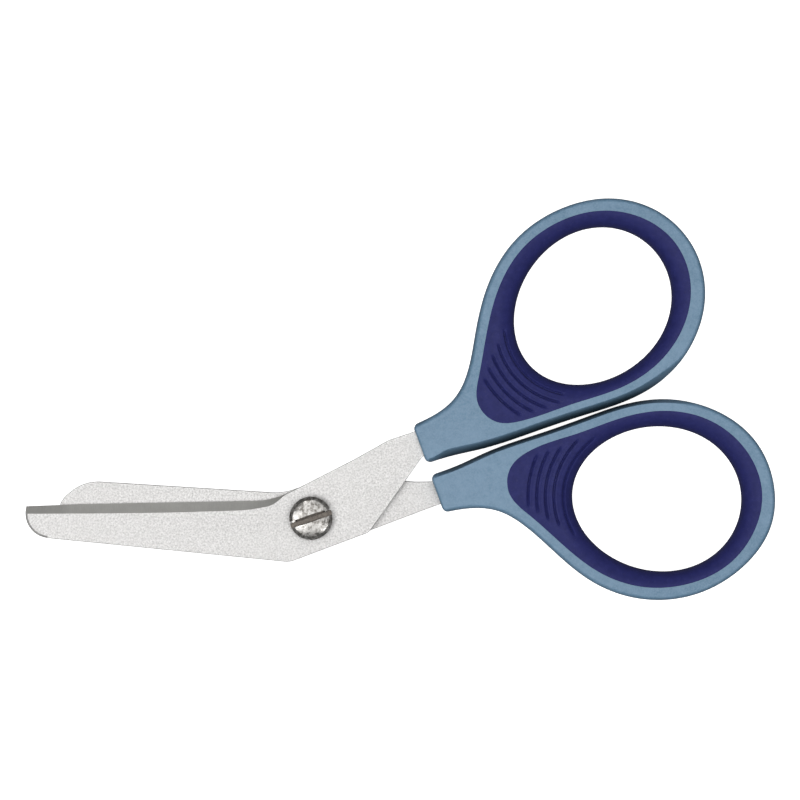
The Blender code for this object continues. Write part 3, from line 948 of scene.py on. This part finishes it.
def grip(half, outline, ribs):
    """A soft grip: it fills both pockets flush with the shell, rolls over into the finger hole, wraps
    the shell's web, and has ribs pressed into its pad on both faces."""
    guide = half.own_side(spline(outline, GUIDE_STEP, closed=True))
    border = spaced(guide - outward(guide) * GRIP_GAP, grip_spacing)
    hole = foot_on(finger_hole(half.hole, half.side), border)
    groove = foot_on(finger_hole(half.hole, half.side, WEB_INSET - GRIP_GAP), border)
    aim = border - hole
    width = np.linalg.norm(aim, axis=1)
    aim /= width[:, None]
    angle = pad_angle(half, hole)
    arc = np.linalg.norm(hole - half.hole, axis=1)
    roll = np.minimum(GRIP_ROUND[0], WIDEST_ROUND * width)
    groove_top = MID_LEVEL + WEB_THICK / 2 + GRIP_GAP

    def over(distance, drop):
        flat = hole + aim * distance[:, None]
        edge = np.clip((width - distance) / GRIP_BORDER, 0, 1)
        border_drop = GRIP_BORDER * (1 - np.sqrt(1 - (1 - edge) ** 2))
        relief = rib_relief(distance, angle, arc, ribs)
        past_hole = smooth_step((distance - DISH_START) / DISH_BLEND)
        relief -= PAD_DISH * past_hole * smooth_step((width - distance) / DISH_BLEND)
        return at_level(flat, HANDLE_TOP - drop - border_drop + relief)

    rows = [at_level(groove, MID_LEVEL), at_level(groove, groove_top), at_level(border, groove_top)]
    rows.append(at_level(border, HANDLE_TOP - 3 * GRIP_BORDER))
    for share in BORDER_SHARES:
        rows.append(over(width - share * GRIP_BORDER, 0))
    for share in np.linspace(0, 1, PAD_STEPS + 1):
        rows.append(over((width - GRIP_BORDER) * (1 - share) + roll * share, 0))
    for share, drop in rounding(ROLL_STEPS)[-2::-1]:
        rows.append(over(roll * share, GRIP_ROUND[1] * drop))
    rows.append(at_level(hole, MID_LEVEL + SEAM_WIDTH))
    rows.append(at_level(hole + aim * -SEAM_HEIGHT * SEAM_SHOULDER, MID_LEVEL + SEAM_WIDTH / 2))
    rows.append(at_level(hole + aim * -SEAM_HEIGHT, MID_LEVEL))
    piece = skin(f"{half.name}_grip_look", mirrored(rows), CLOSING_ANGLE)
    piece.data.materials.append(RUBBER)
    smooth(piece)
    finish_piece(piece, half.body)


def profile_of(corners):
    """A lathe profile from (radius, level, corner radius) corners, clockwise from the axis's top."""
    return [tuple(point) for point in rounded(corners, LATHE_ARC_STEP)]


def slot_section(top):
    """The slot's (across, level) section: arrises that flare out, and a deeper channel by one wall."""
    wall, floor, rim = SLOT_WIDTH / 2, top - SLOT_DEPTH, top - SLOT_RIM_DROP
    channel, channel_floor = wall - CHANNEL_WIDTH, floor - CHANNEL_DEPTH
    flared, above = wall + SLOT_FLARE[0], rim + SLOT_FLARE[1]
    return [
        (-wall, floor), (channel - CHANNEL_SLOPE, floor), (channel, channel_floor),
        (wall, channel_floor), (wall, rim), (flared, above), (-flared, above), (-wall, rim),
    ]


def pivot_screw(half):
    """The slotted pivot screw, with a crowned head, a chamfered rim and worn slot arrises."""
    low, top = SCREW
    head_low = WASHER[1] + HEAD_GAP
    corners = []
    for k in range(CROWN_STEPS):
        share = k / CROWN_STEPS
        corners.append((CROWN_RADIUS * share, top - CROWN_DROP * share**2, 0))
    corners += [
        (CROWN_RADIUS, top - CROWN_DROP, 0.3), (HEAD_RADIUS, top - HEAD_RIM_DROP, 0.15),
        (HEAD_RADIUS, head_low, 0.12), (SHOULDER_RADIUS, head_low, 0),
        (SHOULDER_RADIUS, MID_LEVEL, 0.08), (SHANK_RADIUS, MID_LEVEL, 0),
        (SHANK_RADIUS, low + SHANK_TAPER, 0.08), (SHANK_END_RADIUS, low, 0.08), (0, low, 0),
    ]
    piece = turned("pivot_screw_look", profile_of(corners))
    piece.data.materials.append(NICKEL)
    reach = HEAD_RADIUS + CUT_OVERRUN
    sections = [[(x, y, z) for y, z in slot_section(top)] for x in (-reach, reach)]
    cutter = prism("slot_cutter", placed(sections, SLOT_ANGLE))
    cutter.data.materials.append(SLOT)
    cut(piece, cutter)
    smooth(piece)
    finish_piece(piece, half.body)


def washer_and_nut(half):
    """The dished spring washer under the screw's head, and the low round nut at the back."""
    low, top = WASHER
    inner, outer = SHOULDER_BORE, DISC_RADIUS
    washer = [
        (inner, top, 0.05), (outer, top - WASHER_DISH, 0.08),
        (outer, low, 0.08), (inner, low + WASHER_DISH, 0.05),
    ]
    pieces = [turned("tension_washer_look", profile_of(washer))]
    low, top = NUT
    inner = SHANK_BORE
    nut = [
        (inner, top, 0.06), (outer, top, 0.1),
        (outer, low + NUT_CHAMFER, 0.1), (outer - NUT_CHAMFER, low, 0.1),
        (inner + BORE_CHAMFER, low, 0.04), (inner, low + BORE_CHAMFER, 0.04),
    ]
    pieces.append(turned("pivot_nut_look", profile_of(nut)))
    for piece in pieces:
        piece.data.materials.append(NICKEL)
        smooth(piece)
        finish_piece(piece, half.body)


# --- Studio ----------------------------------------------------------------------------------------


def studio_floor():
    """A wide floor just under the scissors. Only the camera sees it: it neither lights the scissors
    nor shows in them."""
    mesh = bpy.data.meshes.new("studio_floor")
    work = bmesh.new()
    bmesh.ops.create_circle(work, cap_ends=True, segments=96, radius=FLOOR_RADIUS)
    work.to_mesh(mesh)
    work.free()
    floor = new_object("studio_floor", mesh)
    floor.location.z = -FLOOR_DROP
    floor.data.materials.append(matt_floor())
    floor.visible_diffuse = False
    floor.visible_glossy = False
    floor.visible_shadow = False


def soft_light(name, place, size, power):
    """A square soft light that faces the scissors."""
    lamp = bpy.data.lights.new(name, "AREA")
    lamp.size = size
    lamp.energy = power
    made = new_object(name, lamp)
    made.location = place
    made.rotation_euler = (-Vector(place)).to_track_quat("-Z", "Y").to_euler()


def studio_world(stops):
    """A sky of soft light: (height share, brightness) stops, from straight down to straight up."""
    world = bpy.data.worlds.new("studio")
    bpy.context.scene.world = world
    world.use_nodes = True
    tree = world.node_tree
    direction = tree.nodes.new("ShaderNodeTexCoord").outputs["Generated"]
    parts = tree.nodes.new("ShaderNodeSeparateXYZ")
    height = tree.nodes.new("ShaderNodeMapRange")
    height.inputs["From Min"].default_value = -1
    ramp = tree.nodes.new("ShaderNodeValToRGB")
    tree.links.new(direction, parts.inputs["Vector"])
    tree.links.new(parts.outputs["Z"], height.inputs["Value"])
    tree.links.new(height.outputs["Result"], ramp.inputs["Fac"])
    tree.links.new(ramp.outputs["Color"], tree.nodes["Background"].inputs["Color"])
    elements = ramp.color_ramp.elements
    while len(elements) < len(stops):
        elements.new(0.5)
    for element, (place, brightness) in zip(elements, stops):
        element.position = place
        element.color = (brightness, brightness, brightness, 1)


def camera(over, height):
    """Looks straight down, with its frame square to the row frame."""
    lens = bpy.data.cameras.new("camera")
    lens.lens = LENS
    lens.clip_start = 0.01
    made = new_object("camera", lens)
    made.location = (*over, height)
    bpy.context.scene.camera = made


COAT = coated_steel()
EDGE = edge_steel()
GROUND = ground_steel()
SHELL = shell_plastic()
RUBBER = grip_rubber()
NICKEL = nickelled_steel()
SLOT = slot_steel()

front = Half("front", 1, FRONT_BLADE, FRONT_TANG, FRONT_HOLE, FRONT_INNER_EDGE)
blade(front, FRONT_SIDE, FRONT_FOOT, FRONT_RIDGE, FRONT_EDGE, SHOULDER_BORE)
handle(front, FRONT_HANDLE, FRONT_GRIP)
grip(front, FRONT_GRIP, FRONT_RIBS)

rear = Half("rear", -1, REAR_BLADE, REAR_TANG, REAR_HOLE, REAR_INNER_EDGE)
blade(rear, REAR_SIDE, REAR_FOOT, REAR_RIDGE, REAR_EDGE, SHANK_BORE)
handle(rear, REAR_HANDLE, REAR_GRIP)
grip(rear, REAR_GRIP, REAR_RIBS)
pivot_screw(rear)
washer_and_nut(rear)

studio_floor()
studio_world([(0.0, 0.1), (0.5, 0.08), (0.7, 0.36), (1.0, 0.34)])
soft_light("key", (-0.4, -0.146, 0.8), 0.35, 2.2)
soft_light("left_accent", (-0.15, 0.45, 0.8), 0.14, 0.6)
soft_light("right_accent", (0.36, -0.36, 0.78), 0.14, 0.8)
soft_light("overhead", (0.0, 0.0, 1.2), 1.0, 7.2)
camera((0.00002, -0.00014), 0.759)
bpy.context.scene.view_settings.view_transform = "Standard"
